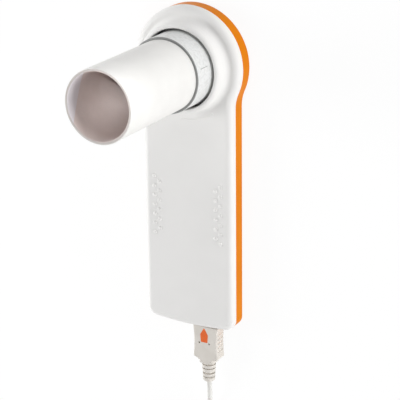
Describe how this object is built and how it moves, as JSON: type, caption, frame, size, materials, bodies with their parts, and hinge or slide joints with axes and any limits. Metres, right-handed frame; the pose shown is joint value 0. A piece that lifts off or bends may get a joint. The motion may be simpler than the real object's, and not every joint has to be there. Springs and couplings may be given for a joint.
{
  "type": "spirometer",
  "caption": "Hand-held spirometer: slim handset, round head with a clear turbine, cardboard mouthpiece and plug-in cable.",
  "frame": {"origin": "middle of the flat back of the handset, which lies on it", "axes": "+Z out of the front, along the turbine and the mouthpiece; +Y along the handset to its round head; +X across it"},
  "size_m": [0.0806, 0.2415, 0.0771],
  "materials": {
    "case_white": "fine satin moulding",
    "case_orange": "smooth gloss moulding",
    "smoked_plastic": "polished, lets infrared through",
    "clear_plastic": "clear, lightly scuffed",
    "swirler_plastic": "translucent white moulding",
    "vane_black": "thin matt film",
    "bearing_ruby": "polished synthetic ruby",
    "screw_steel": "zinc plated",
    "plated_steel": "nickel plated sheet",
    "contact_gold": "gold plated",
    "board_green": "solder mask on glass fibre board",
    "chip_black": "moulded chip case",
    "lens_dark": "infrared lens moulding",
    "component_tan": "fired ceramic",
    "connector_black": "moulded insulator",
    "card_white": "smooth white paper outside, grey board inside",
    "plug_grey": "soft moulding",
    "arrow_orange": "soft inlay",
    "cable_grey": "smooth soft jacket",
    "tie_black": "woven strap"
  },
  "bodies": {
    "handset": {"rear_cover": "case_orange", "front_shell": "case_white", "turbine_socket": "smoked_plastic", "case_screws": "screw_steel", "board_screws": "screw_steel", "main_board": "board_green", "sensor_board": "board_green", "infrared_emitters": "lens_dark", "infrared_receivers": "lens_dark", "temperature_sensor": "chip_black", "link_header": "connector_black", "main_chip": "chip_black", "interface_chip": "chip_black", "crystal": "plated_steel", "small_board_parts": "component_tan", "receptacle_shell": "plated_steel", "receptacle_tongue": "connector_black", "receptacle_contacts": "contact_gold"},
    "turbine": {"turbine_tube": "clear_plastic", "rear_swirler": "swirler_plastic", "front_swirler": "swirler_plastic", "rear_bearing": "bearing_ruby", "front_bearing": "bearing_ruby"},
    "rotor": {"rotor_vane": "vane_black", "rotor_axle": "plated_steel"},
    "mouthpiece": {"mouthpiece_tube": "card_white"},
    "cable": {"plug_shell": "plated_steel", "plug_core": "connector_black", "plug_contacts": "contact_gold", "plug_moulding": "plug_grey", "plug_arrow": "arrow_orange", "plug_strain_relief": "plug_grey", "cable_lead": "cable_grey", "cable_coil": "cable_grey", "cable_tie": "tie_black", "cable_tail": "cable_grey", "far_strain_relief": "plug_grey", "far_moulding": "plug_grey", "far_shell": "plated_steel", "far_core": "connector_black", "far_contacts": "contact_gold"}
  },
  "joints": [
    {"name": "turbine_pull", "type": "slide", "parent": "handset", "child": "turbine", "axis": [0, 0, 1], "range_m": [0, 0.02]},
    {"name": "rotor_spin", "type": "hinge", "parent": "turbine", "child": "rotor", "pos_m": [0, 0.04615, 0.01], "axis": [0, 0, 1], "continuous": true},
    {"name": "mouthpiece_pull", "type": "slide", "parent": "turbine", "child": "mouthpiece", "axis": [0, 0, 1], "range_m": [0, 0.012]},
    {"name": "plug_pull", "type": "slide", "parent": "handset", "child": "cable", "axis": [0, -1, 0], "range_m": [0, 0.01]}
  ]
}
